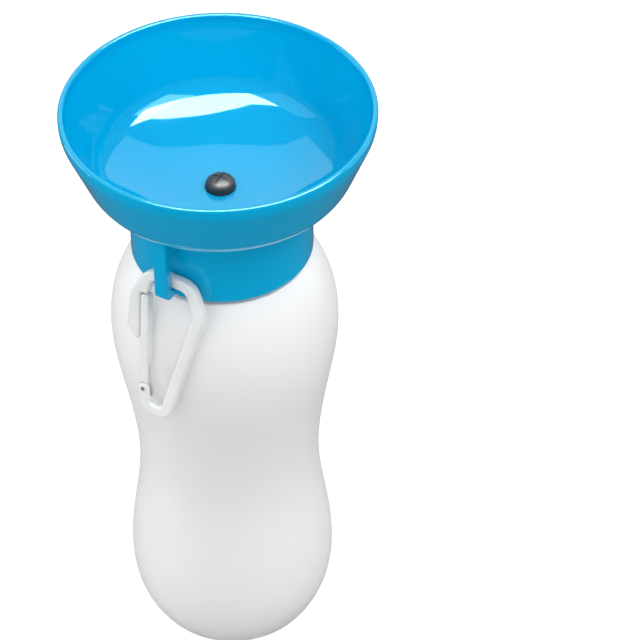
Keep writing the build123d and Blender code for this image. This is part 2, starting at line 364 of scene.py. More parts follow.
def plate(
    name: str, outline: Sequence[Point], thickness: float, edge: float, place: Matrix
) -> bpy.types.Object:
    """Flat plate with rounded edges, centred on the plane that its outline is drawn in.

    Args:
        name: Name of the new object.
        outline: Closed outline in millimetres.
        thickness: Thickness of the plate.
        edge: Radius of its edges.
        place: Turns and moves the plate to its place, in millimetres.

    Returns:
        The new object.
    """
    points = without_doubles(outline)
    twice = sum(a[0] * b[1] - b[0] * a[1] for a, b in zip(points, [*points[1:], points[0]]))
    if twice < 0:
        points.reverse()
    flank = thickness / 2 - edge
    upper = [(0.0, flank)]
    if edge > 0:
        for step in range(1, EDGE_STEPS + 1):
            angle = math.radians(90 / EDGE_STEPS * step)
            upper.append((edge * (1 - math.cos(angle)), flank + edge * math.sin(angle)))
        upper.append((edge * EDGE_RUN, thickness / 2))
    levels = [(inset, -height) for inset, height in reversed(upper)] + upper
    work = bmesh.new()
    loops = []
    for inset, height in levels:
        line = inset_outline(points, inset) if inset > 0 else points
        loops.append([work.verts.new(place @ Vector((x, y, height)) * MM) for x, y in line])
    count = len(points)
    for lower_loop, upper_loop in zip(loops, loops[1:]):
        for index in range(count):
            after = (index + 1) % count
            work.faces.new(
                (lower_loop[index], lower_loop[after], upper_loop[after], upper_loop[index])
            )
    work.faces.new(list(reversed(loops[0])))
    work.faces.new(loops[-1])
    work.normal_update()
    bmesh.ops.triangulate(work, faces=[face for face in work.faces if len(face.verts) > 4])
    mesh = bpy.data.meshes.new(name)
    work.to_mesh(mesh)
    work.free()
    finish_mesh(mesh)
    return add_object(name, mesh)


class TurnedForm:
    """Geometry Nodes tree that turns an outline about the upright axis.

    One full turn makes a round piece. Several turns with a lead make a screw thread, whose
    ridge runs out at both ends.
    """

    INPUTS = {
        "Segments": "NodeSocketInt",
        "Turns": "NodeSocketFloat",
        "Lead": "NodeSocketFloat",
        "Wall radius": "NodeSocketFloat",
        "Start height": "NodeSocketFloat",
        "Run-out": "NodeSocketFloat",
        "Finish": "NodeSocketMaterial",
    }
    LEAST_RUN_OUT = 1e-6  # share of the way
    WELD_DISTANCE = 1e-6  # metres

    def __init__(self) -> None:
        """Builds the tree."""
        self.tree = bpy.data.node_groups.new("turned_form", "GeometryNodeTree")
        face = self.tree.interface
        face.new_socket(name="Outline", in_out="INPUT", socket_type="NodeSocketGeometry")
        self.sockets = {
            label: face.new_socket(name=label, in_out="INPUT", socket_type=kind).identifier
            for label, kind in self.INPUTS.items()
        }
        face.new_socket(name="Form", in_out="OUTPUT", socket_type="NodeSocketGeometry")
        self._wire()

    def _maths(
        self,
        operation: str,
        first: bpy.types.NodeSocket | float,
        second: bpy.types.NodeSocket | float | None = None,
    ) -> bpy.types.NodeSocket:
        """Adds a Math node.

        Args:
            operation: Name of the operation.
            first: First value.
            second: Second value, where the operation takes one.

        Returns:
            The result's socket.
        """
        node = self.tree.nodes.new("ShaderNodeMath")
        node.operation = operation
        for socket, value in zip(node.inputs, (first, second)):
            if isinstance(value, (int, float)):
                socket.default_value = value
            elif value is not None:
                self.tree.links.new(value, socket)
        return node.outputs[0]

    def _wire(self) -> None:
        """Lays a grid of turns by outline points on the turned outline."""
        nodes, link = self.tree.nodes, self.tree.links.new
        given = nodes.new("NodeGroupInput").outputs
        size = nodes.new("GeometryNodeAttributeDomainSize")
        link(given["Outline"], size.inputs["Geometry"])
        points = size.outputs["Point Count"]
        grid = nodes.new("GeometryNodeMeshGrid")
        link(self._maths("ADD", given["Segments"], 1.0), grid.inputs["Vertices X"])
        link(points, grid.inputs["Vertices Y"])
        index = nodes.new("GeometryNodeInputIndex").outputs[0]
        half_on = self._maths("ADD", index, 0.5)
        column = self._maths("FLOOR", self._maths("DIVIDE", half_on, points))
        row = self._maths("SUBTRACT", index, self._maths("MULTIPLY", column, points))
        sample = nodes.new("GeometryNodeSampleIndex")
        sample.data_type = "FLOAT_VECTOR"
        link(given["Outline"], sample.inputs["Geometry"])
        link(nodes.new("GeometryNodeInputPosition").outputs[0], sample.inputs["Value"])
        link(row, sample.inputs["Index"])
        outline = nodes.new("ShaderNodeSeparateXYZ")
        link(sample.outputs[0], outline.inputs[0])
        share = self._maths("DIVIDE", column, given["Segments"])
        to_end = self._maths("MINIMUM", share, self._maths("SUBTRACT", 1.0, share))
        run_out = self._maths("MAXIMUM", given["Run-out"], self.LEAST_RUN_OUT)
        swell = self._maths("DIVIDE", to_end, run_out)
        whole = self._maths("LESS_THAN", given["Run-out"], self.LEAST_RUN_OUT)
        swell = self._maths("MAXIMUM", whole, self._maths("MINIMUM", swell, 1.0))
        turned = self._maths("MULTIPLY", share, given["Turns"])
        angle = self._maths("MULTIPLY", turned, 2 * math.pi)
        depth = self._maths("MULTIPLY", outline.outputs["X"], swell)
        radius = self._maths("ADD", given["Wall radius"], depth)
        climb = self._maths("MULTIPLY", turned, given["Lead"])
        height = self._maths("ADD", outline.outputs["Z"], given["Start height"])
        place = nodes.new("ShaderNodeCombineXYZ")
        link(self._maths("MULTIPLY", radius, self._maths("COSINE", angle)), place.inputs[0])
        link(self._maths("MULTIPLY", radius, self._maths("SINE", angle)), place.inputs[1])
        link(self._maths("ADD", height, climb), place.inputs[2])
        move = nodes.new("GeometryNodeSetPosition")
        link(grid.outputs["Mesh"], move.inputs["Geometry"])
        link(place.outputs[0], move.inputs["Position"])
        merge = nodes.new("GeometryNodeMergeByDistance")
        merge.inputs["Distance"].default_value = self.WELD_DISTANCE
        link(move.outputs[0], merge.inputs["Geometry"])
        realize = nodes.new("GeometryNodeRealizeInstances")
        link(merge.outputs[0], realize.inputs["Geometry"])
        dress = nodes.new("GeometryNodeSetMaterial")
        link(realize.outputs[0], dress.inputs["Geometry"])
        link(given["Finish"], dress.inputs["Material"])
        link(dress.outputs[0], nodes.new("NodeGroupOutput").inputs[0])

    def make(
        self,
        name: str,
        outline: Sequence[Point],
        finish: bpy.types.Material,
        segments: int = 192,
        turns: float = 1.0,
        lead: float = 0.0,
        wall_radius: float = 0.0,
        start: float = 0.0,
        run_out: float = 0.0,
        crease: float = CREASE,
    ) -> bpy.types.Object:
        """Turns an outline.

        Args:
            name: Name of the new object.
            outline: Closed outline as radius and height in millimetres.
            finish: Material of the form.
            segments: Number of steps along the turns.
            turns: Number of turns.
            lead: Rise of one turn.
            wall_radius: Added to the outline's radii.
            start: Added to the outline's heights.
            run_out: Share of the way over which a ridge dies out at each end.
            crease: Edges that fold by more degrees than this stay sharp.

        Returns:
            The new object, with a plain mesh.
        """
        points = without_doubles(outline)
        ring = [*points, points[0]]
        mesh = bpy.data.meshes.new(name)
        mesh.from_pydata(
            [(across * MM, 0.0, up * MM) for across, up in ring],
            [(index, index + 1) for index in range(len(points))],
            [],
        )
        piece = add_object(name, mesh)
        form = piece.modifiers.new("turned_form", "NODES")
        form.node_group = self.tree
        values = {
            "Segments": segments,
            "Turns": turns,
            "Lead": lead * MM,
            "Wall radius": wall_radius * MM,
            "Start height": start * MM,
            "Run-out": run_out,
            "Finish": finish,
        }
        for label, value in values.items():
            form[self.sockets[label]] = value
        return baked(piece, crease)


# ---- Finishes --------------------------------------------------------------------------
class Recipe:
    """Node material under construction."""

    NOISE_SPAN = {"From Min": 0.3, "From Max": 0.7}

    def __init__(self, name: str) -> None:
        """Starts a material with a Principled shader.

        Args:
            name: Name of the material.
        """
        self.material = bpy.data.materials.new(name)
        self.material.use_nodes = True
        self.nodes = self.material.node_tree.nodes
        self.link = self.material.node_tree.links.new
        self.shader = self.nodes["Principled BSDF"]
        self.place = self.nodes.new("ShaderNodeTexCoord").outputs["Object"]

    def stretched(self, scale: Sequence[float]) -> bpy.types.NodeSocket:
        """Object coordinates scaled along each axis.

        Args:
            scale: Scale along X, Y and Z.

        Returns:
            The scaled coordinates.
        """
        mapping = self.nodes.new("ShaderNodeMapping")
        mapping.inputs["Scale"].default_value = scale
        self.link(self.place, mapping.inputs["Vector"])
        return mapping.outputs[0]

    def noise(
        self,
        scale: float,
        detail: float = 4.0,
        rough: float = 0.55,
        where: bpy.types.NodeSocket | None = None,
    ) -> bpy.types.NodeSocket:
        """Noise value.

        Args:
            scale: Number of lumps to the metre.
            detail: Number of finer layers.
            rough: Strength of the finer layers.
            where: Coordinates, or None for object coordinates.

        Returns:
            The noise's value socket.
        """
        node = self.nodes.new("ShaderNodeTexNoise")
        node.inputs["Scale"].default_value = scale
        node.inputs["Detail"].default_value = detail
        node.inputs["Roughness"].default_value = rough
        self.link(where or self.place, node.inputs["Vector"])
        return node.outputs["Fac"]

    def spread(
        self, value: bpy.types.NodeSocket, low: float, high: float
    ) -> bpy.types.NodeSocket:
        """Spreads a noise value over a range.

        Args:
            value: Noise value.
            low: Result for the noise's low values.
            high: Result for the noise's high values.

        Returns:
            The spread value.
        """
        node = self.nodes.new("ShaderNodeMapRange")
        limits = {**self.NOISE_SPAN, "To Min": low, "To Max": high}
        for label, number in limits.items():
            node.inputs[label].default_value = number
        self.link(value, node.inputs["Value"])
        return node.outputs[0]

    def blend(
        self, share: bpy.types.NodeSocket, first: Colour, second: Colour
    ) -> bpy.types.NodeSocket:
        """Mixes two colours.

        Args:
            share: Share of the second colour, from 0 to 1.
            first: First colour.
            second: Second colour.

        Returns:
            The mixed colour.
        """
        node = self.nodes.new("ShaderNodeMix")
        node.data_type = "RGBA"
        node.inputs["A"].default_value = (*first, 1.0)
        node.inputs["B"].default_value = (*second, 1.0)
        self.link(share, node.inputs["Factor"])
        return node.outputs["Result"]

    def bump(
        self,
        height: bpy.types.NodeSocket,
        depth: float,
        before: bpy.types.NodeSocket | None = None,
    ) -> bpy.types.NodeSocket:
        """Bump.

        Args:
            height: Height from 0 to 1.
            depth: Real height of the bump in millimetres.
            before: Normal to add the bump to.

        Returns:
            The bumped normal.
        """
        node = self.nodes.new("ShaderNodeBump")
        node.inputs["Strength"].default_value = 1.0
        node.inputs["Distance"].default_value = depth * MM
        self.link(height, node.inputs["Height"])
        if before is not None:
            self.link(before, node.inputs["Normal"])
        return node.outputs[0]

    def skin(
        self,
        tone: bpy.types.NodeSocket,
        colours: tuple[Colour, Colour],
        gloss: bpy.types.NodeSocket,
        roughness: tuple[float, float],
        relief: bpy.types.NodeSocket,
    ) -> None:
        """Wires the colour, the roughness and the relief of a surface.

        Args:
            tone: Noise that picks between the two colours.
            colours: Colours for its low and its high values.
            gloss: Noise that picks the roughness.
            roughness: Roughness for its low and its high values.
            relief: Bumped normal.
        """
        self.link(
            self.blend(self.spread(tone, 0.0, 1.0), *colours), self.shader.inputs["Base Color"]
        )
        self.link(self.spread(gloss, *roughness), self.shader.inputs["Roughness"])
        self.link(relief, self.shader.inputs["Normal"])

    def set(self, **values: float | Sequence[float]) -> None:
        """Sets constants on the shader's own sockets."""
        for label, value in values.items():
            self.shader.inputs[label.replace("_", " ")].default_value = value


@dataclass(frozen=True)
class GlossyBowlPlastic:
    """Glossy moulded polypropylene of the bowl, collar and hook."""

    light: Colour = (0.0, 0.360, 0.645)
    deep: Colour = (0.0, 0.344, 0.618)
    roughness: float = 0.035

    def material(self) -> bpy.types.Material:
        """Makes the material.

        Returns:
            The finished material.
        """
        recipe = Recipe("glossy_bowl_plastic")
        swells = recipe.bump(recipe.noise(55.0, 1.0), 0.005)
        recipe.skin(
            recipe.noise(22.0),
            (self.light, self.deep),
            recipe.noise(60.0, 6.0),
            (self.roughness, self.roughness + 0.03),
            recipe.bump(recipe.noise(1400.0, 2.0), 0.001, swells),
        )
        recipe.set(IOR=1.45, Specular_IOR_Level=0.8, Specular_Tint=(0.4, 0.85, 1.0, 1.0))
        return recipe.material


@dataclass(frozen=True)
class FrostedBottlePlastic:
    """Soft translucent polyethylene of the squeeze bottle."""

    light: Colour = (0.94, 0.945, 0.945)
    dull: Colour = (0.915, 0.92, 0.92)
    roughness: float = 0.36

    def material(self) -> bpy.types.Material:
        """Makes the material.

        Returns:
            The finished material.
        """
        recipe = Recipe("frosted_bottle_plastic")
        swells = recipe.bump(recipe.noise(34.0, 1.0), 0.10)
        recipe.skin(
            recipe.noise(18.0, 3.0, where=recipe.stretched((1.0, 1.0, 0.5))),
            (self.light, self.dull),
            recipe.noise(90.0, 5.0),
            (self.roughness - 0.04, self.roughness + 0.06),
            recipe.bump(recipe.noise(1800.0, 3.0), 0.006, swells),
        )
        recipe.set(
            IOR=1.51,
            Specular_IOR_Level=0.3,
            Subsurface_Weight=0.42,
            Subsurface_Radius=(1.0, 1.0, 1.0),
            Subsurface_Scale=0.008,
        )
        return recipe.material


@dataclass(frozen=True)
class MilkyClipPlastic:
    """Milky satin plastic of the carabiner."""

    light: Colour = (0.75, 0.76, 0.76)
    dull: Colour = (0.70, 0.71, 0.715)
    roughness: float = 0.30

    def material(self) -> bpy.types.Material:
        """Makes the material.

        Returns:
            The finished material.
        """
        recipe = Recipe("milky_clip_plastic")
        swells = recipe.bump(recipe.noise(260.0, 1.0), 0.02)
        recipe.skin(
            recipe.noise(120.0),
            (self.light, self.dull),
            recipe.noise(300.0, 5.0),
            (self.roughness - 0.04, self.roughness + 0.08),
            recipe.bump(recipe.noise(2600.0, 2.0), 0.003, swells),
        )
        recipe.set(
            IOR=1.49,
            Subsurface_Weight=0.25,
            Subsurface_Radius=(1.0, 1.0, 1.0),
            Subsurface_Scale=0.002,
        )
        return recipe.material


@dataclass(frozen=True)
class SoftRubber:
    """Silicone rubber with a fine matt skin."""

    name: str
    light: Colour
    dull: Colour
    roughness: float = 0.45

    def material(self) -> bpy.types.Material:
        """Makes the material.

        Returns:
            The finished material.
        """
        recipe = Recipe(self.name)
        recipe.skin(
            recipe.noise(400.0),
            (self.light, self.dull),
            recipe.noise(700.0, 5.0),
            (self.roughness - 0.08, self.roughness + 0.12),
            recipe.bump(recipe.noise(3200.0, 3.0), 0.008),
        )
        recipe.set(IOR=1.43)
        return recipe.material


@dataclass(frozen=True)
class PlainMouldedPlastic:
    """Plain white plastic of the holder and the tube."""

    name: str
    light: Colour = (0.82, 0.83, 0.84)
    dull: Colour = (0.77, 0.78, 0.79)
    roughness: float = 0.34

    def material(self) -> bpy.types.Material:
        """Makes the material.

        Returns:
            The finished material.
        """
        recipe = Recipe(self.name)
        drawn = recipe.noise(900.0, 3.0, where=recipe.stretched((1.0, 1.0, 0.08)))
        recipe.skin(
            recipe.noise(160.0),
            (self.light, self.dull),
            recipe.noise(500.0, 4.0),
            (self.roughness - 0.04, self.roughness + 0.08),
            recipe.bump(drawn, 0.008),
        )
        recipe.set(IOR=1.49, Subsurface_Weight=0.15, Subsurface_Scale=0.002)
        return recipe.material


@dataclass(frozen=True)
class DrawnSteel:
    """Stainless steel of the gate's pin and spring, with drawing marks along it."""

    light: Colour = (0.74, 0.74, 0.74)
    dull: Colour = (0.64, 0.64, 0.65)
    roughness: tuple[float, float] = (0.34, 0.50)

    def material(self) -> bpy.types.Material:
        """Makes the material.

        Returns:
            The finished material.
        """
        recipe = Recipe("drawn_steel")
        marks = recipe.noise(5000.0, 4.0, where=recipe.stretched((1.0, 1.0, 0.06)))
        recipe.skin(
            marks, (self.light, self.dull), marks, self.roughness, recipe.bump(marks, 0.004)
        )
        recipe.set(Metallic=1.0)
        return recipe.material


# ---- Dressing --------------------------------------------------------------------------
def dress(piece: bpy.types.Object, finish: bpy.types.Material) -> None:
    """Gives a piece one material.

    Args:
        piece: The piece.
        finish: Its material.
    """
    piece.data.materials.clear()
    piece.data.materials.append(finish)
    for face in piece.data.polygons:
        face.material_index = 0


def stand_for(
    piece: bpy.types.Object, finish: bpy.types.Material, body: Body, slot: Slot, *nodes: str
) -> bpy.types.Object:
    """Dresses a piece and puts it in the place of nodes of the frame.

    Args:
        piece: The detailed piece.
        finish: Its material.
        body: Body that it rides on.
        slot: Record slot of its finish; not used.
        nodes: Nodes that it stands for.

    Returns:
        The same piece.
    """
    dress(piece, finish)
    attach(piece, body.value)
    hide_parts(*nodes)
    return piece


def dress_node(node: str, finish: bpy.types.Material) -> bpy.types.Object:
    """Gives a node of the frame a better material and keeps its shape.

    Args:
        node: Name of the node.
        finish: The material.

    Returns:
        The node's object.
    """
    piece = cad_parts[node]
    dress(piece, finish)
    return piece


@dataclass
class ScrewThread:
    """Single-start thread of the neck and the collar, in millimetres."""

    lead: float = 4.0
    turns: float = 1.5
    depth: float = 1.5
    root_width: float = 2.2
    crest_width: float = 1.2
    sink: float = 0.4
    crest_rounding: float = 0.25
    crest_turn: float = 30.0
    segments: int = 216
    run_out: float = 0.05

    def make(
        self,
        form: TurnedForm,
        finish: bpy.types.Material,
        wall_radius: float,
        outward: float,
        start: float,
    ) -> bpy.types.Object:
        """Makes the ridge on a round wall.

        Args:
            form: Tree that turns outlines.
            finish: Material of the ridge.
            wall_radius: Radius of the wall.
            outward: 1 on a neck and -1 in a bore.
            start: Height where the ridge starts.

        Returns:
            The ridge as an object.
        """
        outline = rounded(
            [
                (-self.sink * outward, -self.root_width / 2, 0.0),
                (self.depth * outward, -self.crest_width / 2, self.crest_rounding),
                (self.depth * outward, self.crest_width / 2, self.crest_rounding),
                (-self.sink * outward, self.root_width / 2, 0.0),
            ],
            turn=self.crest_turn,
        )
        return form.make(
            "thread",
            outline,
            finish,
            segments=self.segments,
            turns=self.turns,
            lead=self.lead,
            wall_radius=wall_radius,
            start=start,
            run_out=self.run_out,
        )


@dataclass
class SqueezeBottle:
    """Blow-moulded bottle with its neck, in millimetres."""

    wall: float = 1.2
    base_radius: float = 30.2
    base_rounding: float = 3.0
    side_knots: tuple[Point, ...] = (
        (36.9, 13.9),
        (38.7, 26.0),
        (34.1, 72.0),
        (38.4, 120.0),
        (41.4, 145.0),
        (39.7, 159.6),
    )
    push_up_radius: float = 24.0
    push_up_depth: float = 3.0
    push_up_steps: int = 12
    neck_radius: float = 28.4
    neck_wall: float = 1.8
    neck_top: float = 201.2
    mouth_rounding: float = 0.5
    bore_rounding: float = 0.4
    shoulder_radius: float = 31.4
    shoulder_height: float = 177.4
    shoulder_rounding: float = 0.9
    thread_start: float = 9.0
    spacing: float = 2.4
    crease: float = 40.0

    def side(self, inset: float) -> list[Point]:
        """Side line from the base to the shoulder.

        Args:
            inset: Distance inside the outer surface.

        Returns:
            The line's points as radius and height.
        """
        base = (self.base_radius - inset, inset)
        middle = [(radius - inset, height) for radius, height in self.side_knots]
        top = (self.shoulder_radius - inset, self.shoulder_height - inset)
        return smooth_line([base, *middle, top], self.spacing)

    def push_up(self, inset: float) -> list[Point]:
        """Arc of the push-up in the base, from its middle to its edge.

        Args:
            inset: Distance above the outer surface.

        Returns:
            The arc's points as radius and height.
        """
        half, depth = self.push_up_radius, self.push_up_depth
        radius = (half**2 + depth**2) / (2 * depth)
        reach = math.asin(half / radius)
        dome = []
        for step in range(self.push_up_steps + 1):
            angle = reach * step / self.push_up_steps
            height = depth - radius * (1 - math.cos(angle)) + inset
            dome.append((radius * math.sin(angle), height))
        return dome

    def outline(self) -> list[Point]:
        """Closed outline of the wall.

        Returns:
            The points of the outline, as distance from the axis and height.
        """
        outer, inner = self.side(0.0), self.side(self.wall)
        bore = self.neck_radius - self.neck_wall
        return rounded(
            [
                *sharp(self.push_up(0.0)),
                (*outer[0], self.base_rounding),
                *sharp(outer[1:-1]),
                (*outer[-1], self.shoulder_rounding),
                (self.neck_radius, self.shoulder_height, self.shoulder_rounding),
                (self.neck_radius, self.neck_top, self.mouth_rounding),
                (bore, self.neck_top, self.mouth_rounding),
                (bore, self.shoulder_height - self.wall, self.bore_rounding),
                *sharp(inner[::-1]),
                *sharp(self.push_up(self.wall)[::-1]),
            ]
        )

    def build(
        self, form: TurnedForm, thread: ScrewThread, finish: bpy.types.Material
    ) -> list[bpy.types.Object]:
        """Makes the bottle.

        Args:
            form: Tree that turns outlines.
            thread: The neck's thread.
            finish: Material of the bottle.

        Returns:
            The pieces made.
        """
        wall = form.make("bottle_wall", self.outline(), finish, crease=self.crease)
        start = self.shoulder_height + self.thread_start
        ridge = thread.make(form, finish, self.neck_radius, 1.0, start)
        bottle = joined("squeeze_bottle", [wall, ridge])
        return [stand_for(bottle, finish, Body.BOTTLE, Slot.BOTTLE, "bottle_body")]


@dataclass
class DrinkingBowl:
    """Bowl with its threaded collar, the boss under its floor and the hook, in millimetres."""

    seat_height: float = 202.7
    floor_height: float = 205.1
    rim_height: float = 240.1
    rim_radius: float = 55.0
    band_height: float = 4.0
    band_rounding: float = 12.0
    rim_rounding: float = 0.9
    wall: float = 2.1
    corner_radius: float = 45.6
    corner_height: float = 212.4
    corner_rounding: float = 15.0
    slope_angle: float = 24.0
    slope_foot: float = 23.0
    floor_rounding: float = 60.0
    collar_radius: float = 32.5
    collar_bore: float = 30.3
    collar_bottom: float = 179.1
    collar_rounding: float = 1.3
    collar_root_rounding: float = 0.5
    mouth_rounding: float = 0.4
    seat_rounding: float = 0.6
    boss_radius: float = 8.9
    boss_bore: float = 7.1
    boss_bottom: float = 192.7
    boss_rounding: float = 0.4
    boss_bore_rounding: float = 0.3
    valve_hole: float = 5.3
    valve_hole_rounding: float = 0.35
    valve_seat_rounding: float = 0.2
    thread_start: float = 184.4
    hook_width: float = 5.2
    hook_inner: float = 38.6
    hook_outer: float = 42.0
    hook_foot: float = 183.9
    hook_web: float = 201.1
    hook_lip_reach: float = 4.0
    hook_lip_top: float = 187.8
    hook_edge: float = 0.6
    hook_sink: float = 1.0
    hook_web_rounding: float = 1.2
    hook_tip_rounding: float = 1.6
    hook_back_rounding: float = 3.2
    seat_centre: float = 35.55
    bar_height: float = 189.2866
    bar_seat_radius: float = 2.7866
    bar_seat_steps: int = 12
    segments: int = 240
    turn: float = 6.0

    @property
    def slope(self) -> float:
        """Rise of the floor's sloping ring for each millimetre outwards."""
        return math.tan(math.radians(self.slope_angle))

    def under_side(self, radius: float) -> float:
        """Height of the bowl's sloping underside at a radius."""
        return self.corner_height - (self.corner_radius - radius) * self.slope

    def outline(self) -> list[Point]:
        """Closed outline of the bowl, its collar and its boss.

        Returns:
            The points of the outline, as distance from the axis and height.
        """
        top = (self.rim_radius, self.rim_height)
        band = (self.rim_radius, self.rim_height - self.band_height)
        corner = (self.corner_radius, self.corner_height)
        foot = (self.slope_foot, self.under_side(self.slope_foot))
        inner_band = inset_corner(top, band, corner, self.wall)
        inner_corner = inset_corner(band, corner, foot, self.wall)
        inner_foot = inner_corner[0] - (inner_corner[1] - self.floor_height) / self.slope
        collar_root = (self.collar_radius, self.under_side(self.collar_radius))
        return rounded(
            [
                (self.valve_hole, self.floor_height, self.valve_hole_rounding),
                (inner_foot, self.floor_height, self.floor_rounding),
                (*inner_corner, self.corner_rounding - self.wall),
                (*inner_band, self.band_rounding - self.wall),
                (self.rim_radius - self.wall, self.rim_height, self.rim_rounding),
                (*top, self.rim_rounding),
                (*band, self.band_rounding),
                (*corner, self.corner_rounding),
                (*collar_root, self.collar_root_rounding),
                (self.collar_radius, self.collar_bottom, self.collar_rounding),
                (self.collar_bore, self.collar_bottom, self.mouth_rounding),
                (self.collar_bore, self.seat_height, self.seat_rounding),
                (self.boss_radius, self.seat_height, self.boss_rounding),
                (self.boss_radius, self.boss_bottom, self.boss_rounding),
                (self.boss_bore, self.boss_bottom, self.boss_bore_rounding),
                (self.boss_bore, self.seat_height, self.valve_seat_rounding),
                (self.valve_hole, self.seat_height, self.valve_seat_rounding),
            ],
            turn=self.turn,
        )

    def hook_outline(self) -> list[Point]:
        """Closed outline of the hook.

        Returns:
            The points of the outline, as distance from the axis and height.
        """
        root = self.collar_radius - self.hook_sink
        tip = self.hook_inner - self.hook_lip_reach
        radius, middle = self.bar_seat_radius, self.seat_centre
        drop = self.bar_height - self.hook_lip_top
        seat_right = math.atan2(-drop, math.sqrt(radius**2 - drop**2))
        seat_left = math.atan2(-math.sqrt(radius**2 - (middle - tip) ** 2), tip - middle)
        sweep = seat_left - seat_right
        seat = arc((middle, self.bar_height), radius, seat_right, sweep, self.bar_seat_steps)
        return rounded(
            [
                (root, self.hook_web, 0.0),
                (self.hook_inner, self.hook_web, self.hook_web_rounding),
                (self.hook_inner, self.hook_lip_top, 0.0),
                *sharp(seat),
                (tip, self.hook_foot, self.hook_tip_rounding),
                (self.hook_outer, self.hook_foot, self.hook_back_rounding),
                (self.hook_outer, self.under_side(self.hook_outer) + self.wall / 2, 0.0),
                (root, self.under_side(root) + self.wall / 2, 0.0),
            ]
        )

    def build(
        self, form: TurnedForm, thread: ScrewThread, finish: bpy.types.Material
    ) -> list[bpy.types.Object]:
        """Makes the bowl.

        Args:
            form: Tree that turns outlines.
            thread: The collar's thread.
            finish: Material of the bowl.

        Returns:
            The pieces made.
        """
        shell = form.make("bowl_shell", self.outline(), finish, segments=self.segments)
        ridge = thread.make(form, finish, self.collar_bore, -1.0, self.thread_start)
        upright = Matrix(((0, 0, -1, 0), (-1, 0, 0, 0), (0, 1, 0, 0), (0, 0, 0, 1)))
        hook = plate("hook", self.hook_outline(), self.hook_width, self.hook_edge, upright)
        bowl = joined("bowl_with_collar", [shell, ridge, hook])
        return [stand_for(bowl, finish, Body.CAP, Slot.BOWL, "drinking_bowl", "screw_collar")]


@dataclass
class WaterWay:
    """Slit valve, with the gasket, the tube holder and the dip tube, in millimetres."""

    dome_radius: float = 5.2
    dome_foot: float = 206.5
    dome_rise: float = 3.0
    dome_steps: int = 16
    wall: float = 1.3
    flange_radius: float = 7.0
    flange_top: float = 202.65
    flange_bottom: float = 201.05
    flange_rounding: float = 0.3
    inner_rounding: float = 0.2
    slit_length: float = 6.4
    slit_width: float = 0.3
    segments: int = 96

    def valve_outline(self) -> list[Point]:
        """Closed outline of the valve.

        Returns:
            The points of the outline, as distance from the axis and height.
        """
        bore, bore_rise = self.dome_radius - self.wall, self.dome_rise - self.wall
        outside, inside = [], []
        for step in range(self.dome_steps + 1):
            angle = math.radians(90 * step / self.dome_steps)
            across, up = math.cos(angle), math.sin(angle)
            outside.append((self.dome_radius * across, self.dome_foot + self.dome_rise * up))
            inside.append((bore * across, self.dome_foot + bore_rise * up))
        flange = rounded(
            [
                (*inside[0], 0.0),
                (bore, self.flange_bottom, self.inner_rounding),
                (self.flange_radius, self.flange_bottom, self.flange_rounding),
                (self.flange_radius, self.flange_top, self.flange_rounding),
                (self.dome_radius, self.flange_top, self.inner_rounding),
                (*outside[0], 0.0),
            ],
            closed=False,
        )
        return [*flange, *outside[1:], *reversed(inside[1:])]

    def slit(self, turned: float) -> bpy.types.Object:
        """Blade in the shape of one slit.

        Args:
            turned: Turn about the upright axis in degrees.

        Returns:
            The blade as an object.
        """
        half, thin = self.slit_length / 2, self.slit_width / 2
        outline = [(-half, -thin), (half, -thin), (half, thin), (-half, thin)]
        top = self.dome_foot + self.dome_rise
        place = Matrix.Translation((0, 0, top)) @ Matrix.Rotation(math.radians(turned), 4, "Z")
        return plate("slit", outline, 2 * self.dome_rise, 0.0, place)

    def build(
        self,
        form: TurnedForm,
        valve_finish: bpy.types.Material,
        seal_finish: bpy.types.Material,
        holder_finish: bpy.types.Material,
        tube_finish: bpy.types.Material,
    ) -> list[bpy.types.Object]:
        """Makes the valve and dresses the pieces behind it.

        Args:
            form: Tree that turns outlines.
            valve_finish: Material of the valve.
            seal_finish: Material of the gasket.
            holder_finish: Material of the tube holder.
            tube_finish: Material of the dip tube.

        Returns:
            The pieces made or dressed.
        """
        outline = self.valve_outline()
        valve = form.make("valve_dome", outline, valve_finish, segments=self.segments)
        combined(valve, [self.slit(0.0), self.slit(90.0)])
        return [
            stand_for(valve, valve_finish, Body.CAP, Slot.VALVE, "slit_valve"),
            dress_node("neck_gasket", seal_finish),
            dress_node("tube_holder", holder_finish),
            dress_node("dip_tube", tube_finish),
        ]


